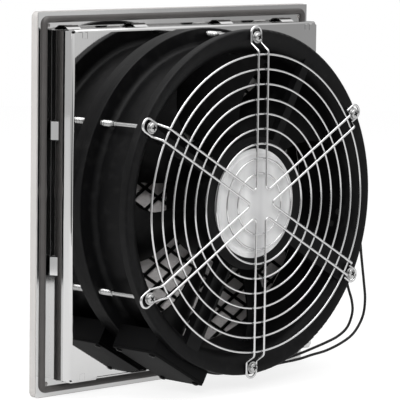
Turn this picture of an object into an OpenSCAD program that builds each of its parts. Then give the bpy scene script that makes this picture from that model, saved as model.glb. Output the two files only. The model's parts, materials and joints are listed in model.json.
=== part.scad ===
// Cabinet filter fan: a louvred front panel over a filter mat, a folded sheet box for a square
// cut-out, and a round axial fan with a wire guard on the inside of the cabinet.
// Every piece is drawn as seen from the fan side: x to the right, y up and z towards the fan,
// with z = 0 at the sealing plane. rear_view() turns that so the fan points along +Y, Z up.

/* [Front panel] */
// Width and height of the panel frame
panel_w = 320; // [300:1:340]
// Depth of the panel's straight rim
rim_depth = 7; // [5:0.5:9]
// Depth from the sealing plane to the front face
panel_depth = 20; // [19:0.5:26]
// How far the sloping front runs in from the rim
panel_slope = 14; // [10:0.5:18]
// Corner radius of the panel
panel_corner = 5; // [3:0.5:8]
// Wall of the moulded panel frame
panel_wall = 2.5; // [2:0.1:3.2]
// Distance from the panel's edge to the louvre door
door_inset = 29; // [28:0.5:35]
// Thickness of the louvre door, which is also its rounded hinge rail
door_t = 12; // [10:0.5:13]
// Width of the door's side and top rails
door_rail = 9; // [8:0.5:14]
// Number of louvre slats
slat_count = 11; // [7:1:13]
// Thickness of a slat
slat_t = 2.2; // [1.6:0.1:3]
// Lean of the slats, measured from level
slat_lean = 42; // [30:1:50]
// Radius of the door's hinge pins
hinge_pin_r = 1.5; // [1:0.1:2]

/* [Box] */
// How far the panel reaches past the cut-out in the cabinet wall
cutout_inset = 14; // [12:0.5:16]
// Depth of the box behind the sealing plane
box_depth = 26.5; // [25:0.5:34]
// Thickness of the sheet
sheet = 1; // [0.8:0.1:1.4]
// Depth of the rear tray's folded edge
tray_fold = 9; // [6:0.5:11]
// Outer radius of the tray's bends
tray_bend = 2.5; // [2:0.1:4]
// Distance from the panel's edge to the corner fixing holes
fixing_inset = 11.4; // [11.2:0.1:12.4]
// Radius of a corner fixing hole
fixing_r = 1.7; // [1.3:0.05:1.9]
// Width of the foam seal
seal_w = 5.5; // [4:0.1:6]
// Height of the foam seal
seal_h = 3; // [2.8:0.1:4]
// Distance from the panel's edge to the middle of the seal
seal_inset = 6.6; // [6:0.1:8]
// Corner radius of the seal's middle line
seal_corner = 4; // [3.2:0.2:26]
// Width of a snap tongue
tongue_w = 15; // [10:0.5:18]
// Height of a snap tongue above the wall
tongue_rise = 3.5; // [3:0.1:5]
// Distance from the sealing plane to the tongue's catching edge
tongue_edge = 3.4; // [3.2:0.1:5]
// Length of a snap tongue
tongue_l = 5.5; // [4.5:0.5:10]

/* [Filter] */
// Thickness of the filter mat
mat_t = 8.4; // [6:0.2:10]
// Thickness of the lattice that carries the mat
lattice_t = 3; // [2:0.2:4]
// Width of a lattice bar
lattice_bar = 2.4; // [1.6:0.1:3.2]
// Distance between lattice bars
lattice_pitch = 16; // [14:0.5:22]
// Slope of the lattice bars
lattice_slope = 31; // [26:1:40]

/* [Fan housing] */
// Depth of the fan housing
fan_depth = 65; // [64:0.5:80]
// How far the rear flange reaches past the bolts
rim_reach = 6.5; // [5:0.5:8]
// How far the front flange reaches past the bolts
foot_reach = 5; // [4.5:0.5:8]
// Distance from the box's side to the air duct
duct_inset = 19.75; // [18.75:0.25:23.75]
// Wall of the air duct
duct_wall = 2.5; // [2:0.1:3]
// Thickness of both flanges
flange_t = 8.5; // [6:0.5:10]
// Radius of the fillets between duct and flanges
spool_fillet = 5; // [3:0.5:5.5]
// Width of the flat land outside the rounded mouth
mouth_land = 0.5; // [0.2:0.1:6]
// Gap between a fixing nut and the wall beside it
nut_gap = 1.25; // [0.5:0.05:1.5]
// Radius of a fixing bolt
bolt_r = 2; // [1.5:0.1:2.5]
// Radius of the motor seat
seat_r = 56; // [54:0.5:60]
// Thickness of the motor seat
seat_t = 6; // [5:0.5:8]
// Radius of the hub disc
hub_disc_r = 46; // [42:0.5:50]
// Thickness of the hub disc
hub_disc_t = 1.4; // [1:0.1:2]

/* [Impeller] */
// Number of blades
blade_count = 7; // [5:1:7]
// Gap between blade tips and duct
tip_gap = 3; // [2:0.1:5]
// Thickness of the blade sheet
blade_t = 1.8; // [1.2:0.1:2.4]
// Pitch of the blades
blade_pitch = 27; // [22:1:29]
// Angle that one blade covers
blade_span = 35; // [32:1:41]
// Turn of the impeller at rest
blade_phase = -14; // [-25:1:25]
// Radius of the blades' pressed curve
blade_camber_r = 110; // [90:5:200]
// Bow of the sickle edges
blade_bow = 13; // [8:1:16]
// Radius of the rotor bell
bell_r = 47; // [46:0.2:48]
// Radius of the shaft
shaft_r = 4; // [3:0.1:4.5]

/* [Wire guard] */
// Number of guard rings
ring_count = 9; // [7:1:9]
// Distance from the duct to the largest guard ring
ring_inset = 1; // [0:0.5:6]
// Radius of the smallest guard ring
ring_inner_r = 25.8; // [24:0.2:38]
// Radius of the ring wire
ring_wire_r = 0.9; // [0.8:0.05:1.3]
// Radius of the spoke wire
spoke_wire_r = 1.05; // [1:0.05:1.4]
// Half of the distance between a spoke's two wires
spoke_half = 5.75; // [5.5:0.05:6.2]
// Height of the spokes above the guard's feet
guard_rise = 8.8; // [7:0.2:12]

/* [Terminal box] */
// Width of the terminal box
terminal_w = 67; // [56:1:72]
// Depth of the terminal box with its lid
terminal_h = 21; // [19:0.5:24]
// Thickness of the terminal box's lid
terminal_lid_t = 2.5; // [2:0.1:3.5]
// Wall of the terminal box
terminal_wall = 2.5; // [2:0.1:3]

/* [Hidden] */
$fn = 96;

// Small overlap that keeps cuts and joins clean
over = 0.5;
// Clearance round a bolt, pin or bush that doesn't turn
bush_gap = 0.05;
// Radial clearance of a running fit
run_gap = 0.05;
// Clearance between pieces that are fitted by hand
hand_gap = 0.5;
// Clearance between the box and the cut-out
cutout_gap = 0.25;
// Gap between the end of a lead and its bush
lead_gap = 0.15;
// Clearance round a soft piece
soft_gap = 0.3;
// Gap at a spot weld between two wires
weld_gap = 0.04;
// How far a straight wire runs into a bend, and how much thicker the bend is there
wire_lap = 0.2;
bend_swell = 0.02;

// Levels along the depth, from the front to the guard
flange_front = -sheet;
rim_front = flange_front - rim_depth;
face_front = -panel_depth;
lattice_back = flange_front + mat_t + 2 * soft_gap + lattice_t;
plate_back = box_depth;
plate_front = plate_back - sheet;
wall_back = plate_back - tray_bend;
fan_front = plate_back;
fan_back = fan_front + fan_depth;
foot_flange_back = fan_front + flange_t;
rim_flange_front = fan_back - flange_t;
duct_lap = 0.5;
duct_front = foot_flange_back + spool_fillet + duct_lap;
duct_back = rim_flange_front - spool_fillet - duct_lap;
seat_stand = 1;
seat_back = fan_back + seat_stand;
seat_front = seat_back - seat_t;
foot_wire_z = fan_back + spoke_wire_r + bend_swell;
washer_z = foot_wire_z + spoke_wire_r + bend_swell + weld_gap;
spoke_z = foot_wire_z + guard_rise;
ring_z = spoke_z - spoke_wire_r - ring_wire_r - weld_gap;

// Half widths of the square pieces
box_half = panel_w / 2 - cutout_inset - cutout_gap;
wall_half = box_half - sheet;
flange_lip = 0.5;
flange_half = panel_w / 2 - flange_lip;
fixing_half = panel_w / 2 - fixing_inset;
door_half = panel_w / 2 - door_inset;
door_w = 2 * door_half;
opening_half = door_half + hand_gap;
basket_gap = 1;
basket_half = wall_half - sheet - basket_gap;
basket_wall = 2;
mat_half = basket_half - basket_wall - soft_gap;
ledge_l = 7;
ledge_w = 24;
ledge_place = 0.62 * wall_half;

// Door hinge
hinge_y = -door_half + door_t / 2;
hinge_z = face_front + door_t / 2;
hinge_pin_in = 10;
hinge_pin_out = 6;

// Bolts, sleeves and guard feet share six places
bolt_angles = [for (k = [0:5]) 30 + 60 * k];
sleeve_l = 16;
sleeve_wall = 0.9;
sleeve_r = bolt_r + sleeve_wall;
bolt_hole_gap = 0.25;
bolt_hole_r = bolt_r + bolt_hole_gap;
washer_t = 0.8;
washer_grip = 0.4;
washer_r = spoke_half - spoke_wire_r + washer_grip;
head_r = 2.05 * bolt_r;
head_t = 1.4 * bolt_r;
nut_t = 1.6 * bolt_r;
nut_flats = 3.5 * bolt_r;
nut_r = nut_flats / 2 / cos(30);
bolt_tail = 1.5;
bolt_circle_r = wall_half - sheet - nut_flats / 2 - nut_gap;
rim_r = bolt_circle_r + rim_reach;
foot_flange_r = bolt_circle_r + foot_reach;
duct_r = box_half - duct_inset;
rim_edge = 2;
mouth_round = rim_r - duct_r - rim_edge - mouth_land;

// Guard: its rings, and where a spoke bends down and loops round its bolt
ring_r = duct_r - ring_inset;
ring_step = (ring_r - ring_inner_r) / (ring_count - 1);
guard_knee = 11;
guard_ankle = 5;
loop_over = 3;

// Motor, from its seat forward
motor_flange_t = 4;
motor_flange_in = 6;
motor_flange_r = seat_r - motor_flange_in;
motor_flange_front = seat_front - motor_flange_t;
motor_screw_r = 2;
motor_screw_circle = 30;
motor_head_r = 3.6;
motor_head_t = 2.2;
bearing_race = 7;
bearing_r = shaft_r + bearing_race;
bearing_t = 7;
tube_wall = 1.5;
tube_r = bearing_r + bush_gap + tube_wall;
bell_wall = 2;
bell_gap = 8;
bell_l = 43;
bell_back = seat_front - bell_gap;
bell_front = bell_back - bell_l;
ring_out_r = bell_r - bell_wall - bush_gap;
ring_t = 6;
ring_in_r = ring_out_r - ring_t;
air_gap = 0.6;
core_r = ring_in_r - air_gap;
core_t = 20;
core_inset = 14;
core_front = bell_front + core_inset;
core_slots = 12;
slot_r = 2.6;
winding_t = 7;
winding_gap = 5;
winding_in_r = tube_r + winding_gap;
winding_inset = 3;
winding_out_r = core_r - winding_inset;
tube_inset = 10;
tube_front = bell_front + tube_inset;

// Impeller
hub_ring_wall = 3;
hub_ring_r = bell_r + hub_ring_wall;
tip_r = duct_r - tip_gap;
blade_sink = 1;
blade_root_r = hub_ring_r - blade_sink;
blade_mid = 30;
blade_mid_z = fan_front + blade_mid;
bow_chord = tip_r - blade_root_r;
bow_r = (bow_chord * bow_chord / 4 + blade_bow * blade_bow) / (2 * blade_bow);
hub_ring_l = 34;

// Struts of the motor seat: angle and width of each
strut_angles = [-30, 60, 150];
strut_widths = [20, 8, 8];
strut_t = 7;
strut_back = fan_back - 2;
channel_angle = -120;
channel_w = 16;
channel_rib = 3;
channel_floor = 2.5;

// Terminal box between the flanges
terminal_gap = 0.5;
terminal_inner = duct_r + duct_wall + spool_fillet + terminal_gap;
terminal_reach = terminal_inner + terminal_h;
terminal_outer = terminal_reach - terminal_lid_t;
terminal_len = rim_flange_front - foot_flange_back;
terminal_floor = 2.5;
terminal_room = terminal_outer - terminal_inner - terminal_floor;
lid_screw_r = 1.5;
lid_screw_l = 7;
lid_screw_inset = 4.5;
lid_boss_r = 3.5;
lid_head_r = 2.75;
lid_head_t = 1.6;
block_room = 7;
block_size = [40, 12, terminal_room - block_room];
capacitor_room = 1;
capacitor_r = terminal_room / 2 - capacitor_room;
capacitor_l = 40;

// Leads: the points are local to the housing, with z counted from its front face
lead_r = 1.2;
lead_sides = 8;
lead_steps = 2;
grommet_r = 4;
grommet_t = 2;
grommet_neck_r = 2.6;
outer_exit = [-8, 47];
inner_exit = [-13, 42];
entry_in = 5;
entry_radius = terminal_inner + entry_in;
outer_entry_z = 42;
inner_entry_z = 34;

function polar(r, a) = [r * cos(a), r * sin(a)];
function unit(v) = v / norm(v);
function flat3(p, z) = [p[0], p[1], z];

// Where a lead leaves the duct, and where it goes into the terminal box
function exit_point(exit, out) = flat3(polar(duct_r + duct_wall + out, exit[0]), fan_front + exit[1]);
function entry_point(z, out) =
    flat3(polar(entry_radius, channel_angle)
        + (terminal_w / 2 + out) * [-sin(channel_angle), cos(channel_angle)], fan_front + z);

// The routes are drawn for a duct of this radius, and grow with it
route_duct_r = 126;
function route_point(p) = flat3([p[0], p[1]] * duct_r / route_duct_r, p[2] + fan_front);

outer_route = concat(
    [exit_point(outer_exit, grommet_t + soft_gap + lead_gap), exit_point(outer_exit, 7)],
    [for (p = [
        [144, -23, 47], [151, -33, 47], [155, -46, 47], [157, -59, 47], [159, -71, 47],
        [161, -83, 47], [163, -99, 47], [160, -114, 47], [149, -127, 47], [134, -134, 47],
        [114, -139, 47], [95, -141, 47], [78, -143, 47], [60, -144, 46], [40, -145, 45],
        [20, -145, 44], [0, -146, 43], [-14, -146, 42], [-25, -144, 42]
    ]) route_point(p)],
    [entry_point(outer_entry_z, 7), entry_point(outer_entry_z, grommet_t + lead_gap)]
);
inner_route = concat(
    [exit_point(inner_exit, grommet_t + soft_gap + lead_gap), exit_point(inner_exit, 6)],
    [for (p = [
        [138, -38, 42], [140, -49, 42], [140, -61, 42], [142, -74, 42], [146, -87, 42],
        [151, -99, 42], [152, -110, 42], [146, -122, 42], [134, -129, 42], [119, -133, 42],
        [104, -136, 42], [88, -139, 42], [70, -142, 41], [50, -144, 40], [30, -145, 38],
        [10, -146, 36], [-10, -146, 35], [-24, -144, 34]
    ]) route_point(p)],
    [entry_point(inner_entry_z, 7), entry_point(inner_entry_z, grommet_t + lead_gap)]
);

module rear_view() rotate([90, 0, 180]) children();

module at_angle(a) rotate([0, 0, a]) children();

module at_bolts() for (a = bolt_angles) at_angle(a) translate([bolt_circle_r, 0, 0]) children();

// Square plate with round corners, given by its half width
module round_square(half, r) {
    for (turn = [0, 90]) rotate(turn) square([2 * half, 2 * (half - r)], center = true);
    for (x = [-1, 1], y = [-1, 1]) translate([x, y] * (half - r)) circle(r);
}

module square_block(half, z0, z1) translate([-half, -half, z0]) cube([2 * half, 2 * half, z1 - z0]);

module square_tube(outer, inner, z0, z1) {
    difference() {
        square_block(outer, z0, z1);
        square_block(inner, z0 - over, z1 + over);
    }
}

// Straight rim and sloping front of the panel, drawn in by inset, from back_z to front_z
module panel_body(inset, back_z, front_z) {
    corner_fn = 32;
    slice = 0.01;
    half = panel_w / 2 - inset;
    r = max(panel_corner - inset, 1);
    translate([0, 0, rim_front]) linear_extrude(back_z - rim_front) round_square(half, r);
    hull() {
        for (x = [-1, 1], y = [-1, 1]) {
            translate([x * (half - r), y * (half - r), rim_front])
                cylinder(r = r, h = slice, $fn = corner_fn);
            translate([x * (half - r - panel_slope), y * (half - r - panel_slope), front_z])
                cylinder(r = r, h = slice, $fn = corner_fn);
        }
    }
}

module panel_frame() {
    boss_r = fixing_r + 2.2;
    boss_sink = (fixing_inset - boss_r) / panel_slope * (rim_front - face_front) - panel_wall / 2;
    hinge_boss_w = 9;
    hinge_boss_l = hinge_pin_out + 1.5;
    color("gainsboro") rear_view() difference() {
        union() {
            difference() {
                panel_body(0, flange_front, face_front);
                panel_body(panel_wall, flange_front + over, face_front + panel_wall);
            }
            square_tube(opening_half + panel_wall, opening_half, face_front, flange_front);
            for (x = [-1, 1], y = [-1, 1])
                translate([x * fixing_half, y * fixing_half, rim_front - boss_sink])
                    cylinder(r = boss_r, h = flange_front - rim_front + boss_sink);
            for (x = [-1, 1])
                translate([x * (opening_half + hinge_boss_l / 2), hinge_y, hinge_z])
                    cube([hinge_boss_l, hinge_boss_w, hinge_boss_w], center = true);
        }
        square_block(opening_half, face_front - over, flange_front + over);
        for (x = [-1, 1], y = [-1, 1])
            translate([x * fixing_half, y * fixing_half, face_front - over])
                cylinder(r = fixing_r, h = panel_depth);
        for (x = [-1, 1])
            translate([x * opening_half, hinge_y, hinge_z]) rotate([0, x * 90, 0])
                translate([0, 0, -over]) cylinder(r = hinge_pin_r + bush_gap, h = hinge_pin_out + over);
    }
}

// Door with a round hinge rail along its lower edge, and leaning slats
module louvre_door() {
    window_half = door_half - door_rail;
    window_low = hinge_y + door_t / 2 + 1;
    window_high = door_half - door_rail;
    slat_l = (door_t - slat_t * sin(slat_lean) - 0.4) / cos(slat_lean);
    slat_pitch = (window_high - window_low) / slat_count;
    notch = [26, 3, 4];
    color("gainsboro") rear_view() difference() {
        union() {
            difference() {
                union() {
                    translate([-door_half, hinge_y, face_front])
                        cube([door_w, door_half - hinge_y, door_t]);
                    translate([-door_half, hinge_y, hinge_z]) rotate([0, 90, 0])
                        cylinder(d = door_t, h = door_w);
                }
                translate([-window_half, window_low, face_front - over])
                    cube([2 * window_half, window_high - window_low, door_t + 2 * over]);
            }
            for (k = [0:slat_count - 1])
                translate([0, window_low + (k + 0.5) * slat_pitch, hinge_z]) rotate([-slat_lean, 0, 0])
                    cube([2 * window_half + 2, slat_t, slat_l], center = true);
        }
        for (x = [-1, 1])
            translate([x * door_half, hinge_y, hinge_z]) rotate([0, -x * 90, 0])
                translate([0, 0, -over]) cylinder(r = hinge_pin_r + run_gap, h = hinge_pin_in + over);
        translate([-notch[0] / 2, door_half - notch[1], face_front - over])
            cube([notch[0], notch[1] + over, notch[2] + over]);
    }
}

module hinge_pins() {
    color("silver") rear_view() for (x = [-1, 1])
        translate([x * (opening_half - hinge_pin_in), hinge_y, hinge_z]) rotate([0, x * 90, 0])
            cylinder(r = hinge_pin_r, h = hinge_pin_in + hinge_pin_out - 0.2);
}

module filter_mat() {
    color("lightgray") rear_view()
        square_block(mat_half, flange_front + soft_gap, flange_front + soft_gap + mat_t);
}

// Tray that holds the mat, with a floor of two layers of crossing bars
module filter_lattice() {
    lattice_front = lattice_back - lattice_t;
    border = 14;
    grid_half = basket_half - border;
    reach = ceil(2 * grid_half / lattice_pitch);
    color([0.09, 0.09, 0.1]) rear_view() {
        square_tube(basket_half, basket_half - basket_wall, flange_front, lattice_back);
        square_tube(basket_half - basket_wall / 2, grid_half, lattice_front, lattice_back);
        for (side = [-1, 1])
            translate([0, 0, lattice_front + lattice_t / 4 * (2 + side)]) intersection() {
                cube([2 * grid_half + 1, 2 * grid_half + 1, lattice_t], center = true);
                for (k = [-reach:reach]) rotate(side * lattice_slope) translate([0, k * lattice_pitch])
                    cube([4 * grid_half, lattice_bar, lattice_t / 2 - weld_gap], center = true);
            }
    }
}

// Places of the snap tongues as shares of a wall's half width: four above and below, two beside
function tongue_shares(side) =
    side % 2 == 0 ? [-0.877, -0.353, 0.353, 0.877] : side == 1 ? [-0.43, 0.345] : [-0.345, 0.43];
function tongue_places(side) = wall_half * tongue_shares(side);

module tongue() {
    rise = [
        [0, tongue_edge + tongue_l], [-sheet, tongue_edge + tongue_l],
        [tongue_rise - sheet, tongue_edge], [tongue_rise, tongue_edge]
    ];
    translate([0, tongue_w / 2, 0]) rotate([90, 0, 0]) linear_extrude(tongue_w) polygon(rise);
}

// Flange and walls of the box, with the snap tongues cut from the walls
module mounting_frame() {
    window_side = 1;
    window_front = 0.8;
    color([0.75, 0.76, 0.77]) rear_view() difference() {
        union() {
            difference() {
                union() {
                    square_tube(flange_half, wall_half - sheet, flange_front, 0);
                    square_tube(wall_half, wall_half - sheet, flange_front, wall_back);
                }
                for (side = [0:3], place = tongue_places(side))
                    at_angle(90 + 90 * side) translate([
                        wall_half - 2 * sheet,
                        place - tongue_w / 2 - window_side,
                        tongue_edge - window_front
                    ]) cube([
                        3 * sheet,
                        tongue_w + 2 * window_side,
                        tongue_l + window_front - sheet / 2
                    ]);
            }
            for (side = [0:3], place = tongue_places(side))
                at_angle(90 + 90 * side) translate([wall_half, place, 0]) tongue();
            for (side = [0:3], end = [-1, 1]) at_angle(90 * side)
                translate([wall_half - sheet - ledge_l, end * ledge_place - ledge_w / 2, lattice_back])
                    cube([ledge_l + sheet / 2, ledge_w, sheet]);
        }
        for (x = [-1, 1], y = [-1, 1])
            translate([x * fixing_half, y * fixing_half, flange_front - over])
                cylinder(r = fixing_r, h = sheet + 2 * over);
    }
}

// Rear plate with edges folded forward over the walls, relieved at the corners. Below, the fold stays
// only as two corner tabs
module rear_tray() {
    flat_half = box_half - tray_bend;
    relief = tray_bend + 0.5;
    mark = 6;
    mark_in = 13.5;
    mark_rise = 4.5;
    mark_places = [for (x = [-1, 1], y = [-1, 1]) [x * (box_half - mark_in), y * (box_half - mark_rise)]];
    tab_l = 30;
    tab_drop = 3;
    color([0.82, 0.83, 0.84]) rear_view() difference() {
        union() {
            square_block(flat_half, plate_front, plate_back);
            for (side = [0:3]) at_angle(90 * side) {
                translate([flat_half, relief - box_half, plate_back - tray_bend]) rotate([-90, 0, 0])
                    intersection() {
                        difference() {
                            cylinder(r = tray_bend, h = 2 * (box_half - relief));
                            translate([0, 0, -over])
                                cylinder(r = tray_bend - sheet, h = 2 * box_half);
                        }
                        translate([0, -tray_bend, 0])
                            cube([tray_bend, tray_bend, 2 * (box_half - relief)]);
                    }
                translate([box_half - sheet, relief - box_half, plate_back - tray_fold])
                    cube([sheet, 2 * (box_half - relief), tray_fold - tray_bend]);
            }
        }
        translate([tab_l - box_half, -box_half - over, plate_back - tray_fold - over])
            cube([2 * (box_half - tab_l), tab_drop + over, tray_fold + 2 * over]);
        translate([0, 0, plate_front - over]) cylinder(r = duct_r, h = sheet + 2 * over);
        translate([0, 0, plate_front - over]) at_bolts() cylinder(r = bolt_hole_r, h = sheet + 2 * over);
        for (p = mark_places) translate([p[0], p[1], plate_back]) difference() {
            cube([mark, mark, 0.4], center = true);
            cube([mark - 1, mark - 1, 1], center = true);
        }
    }
}

// Foamed bead: straight runs and round corners of one half-round section
module foam_seal() {
    mid = panel_w / 2 - seal_inset;
    run = mid - seal_corner;
    color([0.36, 0.34, 0.33]) rear_view() for (side = [0:3]) at_angle(90 * side) {
        translate([mid, run, 0]) rotate([90, 0, 0]) linear_extrude(2 * run) seal_section();
        translate([run, run, 0]) rotate_extrude(angle = 90) translate([seal_corner, 0]) seal_section();
    }
}

// Round-topped bead that stands on its flat base
module seal_section() {
    r = (seal_w * seal_w / 4 + seal_h * seal_h) / (2 * seal_h);
    intersection() {
        translate([0, seal_h - r]) circle(r);
        translate([-seal_w, 0]) square([2 * seal_w, seal_h + over]);
    }
}

// What is cut off to round a corner that points along +x and +y
module corner_cut(r) {
    difference() {
        square(r + over);
        circle(r);
    }
}

// Half profile of the spool: duct, two flanges, fillets, the rounded mouth and broken edges
module spool_profile() {
    out_r = duct_r + duct_wall;
    foot_edge = 0.8;
    difference() {
        union() {
            translate([duct_r, fan_front]) square([duct_wall, fan_depth]);
            translate([duct_r, fan_front]) square([foot_flange_r - duct_r, flange_t]);
            translate([duct_r, rim_flange_front]) square([rim_r - duct_r, flange_t]);
            translate([out_r, foot_flange_back]) difference() {
                square(spool_fillet);
                translate([spool_fillet, spool_fillet]) circle(spool_fillet);
            }
            translate([out_r, rim_flange_front - spool_fillet]) difference() {
                square(spool_fillet);
                translate([spool_fillet, 0]) circle(spool_fillet);
            }
        }
        mouth_cut(0);
        translate([rim_r - rim_edge, fan_back - rim_edge]) corner_cut(rim_edge);
        translate([rim_r - foot_edge, rim_flange_front + foot_edge]) rotate(-90) corner_cut(foot_edge);
        translate([foot_flange_r - foot_edge, foot_flange_back - foot_edge]) corner_cut(foot_edge);
    }
}

// Section of the space in the rounded mouth, held off the wall by a gap
module mouth_cut(gap) {
    translate([duct_r - over, fan_back - mouth_round]) difference() {
        square([mouth_round + over, mouth_round + over]);
        translate([mouth_round + over, 0]) circle(mouth_round + gap);
    }
}

// Ring of the spool between two levels
module spool_band(low, high) {
    rotate_extrude() intersection() {
        spool_profile();
        translate([0, low]) square([2 * rim_r, high - low]);
    }
}

module front_flange() {
    color([0.07, 0.07, 0.08]) rear_view() difference() {
        spool_band(fan_front, duct_front);
        translate([0, 0, fan_front - over]) at_bolts()
            cylinder(r = bolt_hole_r, h = duct_front - fan_front + 2 * over);
    }
}

// Duct between the flanges, with the bores for the leads
module fan_housing() {
    color([0.07, 0.07, 0.08]) rear_view() difference() {
        spool_band(duct_front, duct_back);
        for (e = [outer_exit, inner_exit]) at_angle(e[0]) translate([duct_r - over, 0, fan_front + e[1]])
            rotate([0, 90, 0]) cylinder(r = grommet_neck_r + bush_gap, h = duct_wall + 2 * over);
    }
}

module rear_flange() {
    color([0.07, 0.07, 0.08]) rear_view() difference() {
        spool_band(duct_back, fan_back);
        translate([0, 0, duct_back - over]) at_bolts()
            cylinder(r = bolt_hole_r, h = fan_back - duct_back + 2 * over);
    }
}

// Arm of the spider, long enough to reach into the wall of the mouth
module strut(width) {
    inner = seat_r - 4;
    translate([inner, -width / 2, strut_back - strut_t]) cube([rim_r - inner, width, strut_t]);
}

// Space inside the duct and its mouth, just clear of the wall
module duct_space() {
    rotate_extrude() union() {
        translate([0, fan_front]) square([duct_r - bush_gap, fan_depth]);
        mouth_cut(bush_gap);
    }
}

// Seat and cup of the motor on three arms and the lead channel
module motor_spider() {
    cup_wall = 3;
    cup_depth = 10;
    head_gap = 0.3;
    color([0.07, 0.07, 0.08]) rear_view() difference() {
        union() {
            translate([0, 0, seat_front]) cylinder(r = seat_r, h = seat_t);
            translate([0, 0, seat_front - cup_depth]) difference() {
                cylinder(r = seat_r, h = cup_depth + over);
                translate([0, 0, -over]) cylinder(r = seat_r - cup_wall, h = cup_depth + over);
            }
            intersection() {
                duct_space();
                union() {
                    for (k = [0:2]) at_angle(strut_angles[k]) strut(strut_widths[k]);
                    at_angle(channel_angle) difference() {
                        strut(channel_w);
                        translate([
                            seat_r,
                            channel_rib - channel_w / 2,
                            strut_back - strut_t + channel_floor
                        ]) cube([duct_r - seat_r - 2 * channel_rib, channel_w - 2 * channel_rib, strut_t]);
                    }
                }
            }
        }
        for (k = [0:3]) at_angle(45 + 90 * k) translate([motor_screw_circle, 0, seat_front - over]) {
            cylinder(r = motor_screw_r + bush_gap, h = seat_t + 2 * over);
            translate([0, 0, over + seat_t - motor_head_t])
                cylinder(r = motor_head_r + head_gap, h = seat_t);
        }
    }
}

// Pan-head bolts that hold the guard and the fan
module fixing_bolts() {
    tail = plate_front - nut_t - bolt_tail;
    head_z = washer_z + washer_t;
    dome_r = head_r * 1.5;
    color("silver") rear_view() at_bolts() {
        translate([0, 0, tail]) cylinder(r = bolt_r, h = head_z - tail);
        translate([0, 0, head_z]) intersection() {
            cylinder(r = head_r, h = head_t);
            translate([0, 0, head_t - dome_r]) sphere(dome_r);
        }
    }
}

module fixing_washers() {
    color("silver") rear_view() at_bolts() translate([0, 0, washer_z]) difference() {
        cylinder(r = washer_r, h = washer_t);
        translate([0, 0, -over]) cylinder(r = bolt_r + bush_gap, h = washer_t + 2 * over);
    }
}

module spacer_sleeves() {
    color("silver") rear_view() at_bolts() translate([0, 0, foot_flange_back]) difference() {
        cylinder(r = sleeve_r, h = sleeve_l);
        translate([0, 0, -over]) cylinder(r = bolt_r + bush_gap, h = sleeve_l + 2 * over);
    }
}

module fixing_nuts() {
    color("silver") rear_view() for (a = bolt_angles)
        translate(flat3(polar(bolt_circle_r, a), plate_front - nut_t)) difference() {
            cylinder(r = nut_r, h = nut_t, $fn = 6);
            translate([0, 0, -over]) cylinder(r = bolt_r + bush_gap, h = nut_t + 2 * over);
        }
}

module guard_rings() {
    color("gainsboro") rear_view() for (k = [0:ring_count - 1])
        translate([0, 0, ring_z]) rotate_extrude() translate([ring_r - k * ring_step, 0]) circle(ring_wire_r);
}

// Straight length of wire
module wire_run(a, b, r) {
    d = b - a;
    translate(a) rotate([0, acos(d[2] / norm(d)), atan2(d[1], d[0])]) cylinder(r = r, h = norm(d));
}

// Bent length of wire that rounds the corner at b with the given bend radius
module wire_bend(a, b, c, bend, r) {
    u = unit(b - a);
    w = unit(c - b);
    turn = acos(u * w);
    n = unit(cross(u, w));
    m = cross(n, u);
    mid = b - u * bend * tan(turn / 2) + m * bend;
    multmatrix([
        [-m[0], u[0], n[0], mid[0]],
        [-m[1], u[1], n[1], mid[1]],
        [-m[2], u[2], n[2], mid[2]]
    ]) rotate_extrude(angle = turn) translate([bend, 0]) circle(r + bend_swell);
}

function turn_room(a, b, c, bend) = bend * tan(acos(unit(b - a) * unit(c - b)) / 2);

// Closed wire through corners, each given as [point, bend radius]
module closed_wire(corners, r) {
    n = len(corners);
    p = [for (c = corners) c[0]];
    room = [for (i = [0:n - 1]) turn_room(p[(i + n - 1) % n], p[i], p[(i + 1) % n], corners[i][1])];
    for (i = [0:n - 1]) {
        j = (i + 1) % n;
        d = unit(p[j] - p[i]);
        wire_run(p[i] + d * (room[i] - wire_lap), p[j] - d * (room[j] - wire_lap), r);
        wire_bend(p[(i + n - 1) % n], p[i], p[j], corners[i][1], r);
    }
}

// One spoke's corners: out along one wire, down to the rim, round the bolt and back
function spoke_corners(a) =
    let (
        knee = bolt_circle_r - guard_knee,
        ankle = bolt_circle_r - guard_ankle,
        loop_end = bolt_circle_r + spoke_half + loop_over,
        loop_bend = spoke_half - 0.4,
        along = polar(1, a),
        beside = [-sin(a), cos(a)],
        at = function(u, v, z) flat3(u * along + v * beside, z)
    )
    [
        [at(2 * spoke_half * cos(30), -spoke_half, spoke_z), 3],
        [at(knee, -spoke_half, spoke_z), 3],
        [at(ankle, -spoke_half, foot_wire_z), 2.5],
        [at(loop_end, -spoke_half, foot_wire_z), loop_bend],
        [at(loop_end, spoke_half, foot_wire_z), loop_bend],
        [at(ankle, spoke_half, foot_wire_z), 2.5],
        [at(knee, spoke_half, spoke_z), 3]
    ];

module guard_spokes() {
    corners = [for (a = bolt_angles, c = spoke_corners(a)) c];
    color("gainsboro") rear_view() closed_wire(corners, spoke_wire_r);
}

module hub_disc() {
    disc_edge = 3;
    disc_slope = 1.5;
    disc_rise = 0.6;
    color([0.85, 0.85, 0.86]) rear_view() translate([0, 0, seat_back]) {
        cylinder(r = hub_disc_r, h = hub_disc_t);
        translate([0, 0, hub_disc_t])
            cylinder(r1 = hub_disc_r - disc_edge, r2 = hub_disc_r - disc_edge - disc_slope, h = disc_rise);
    }
}

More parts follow.
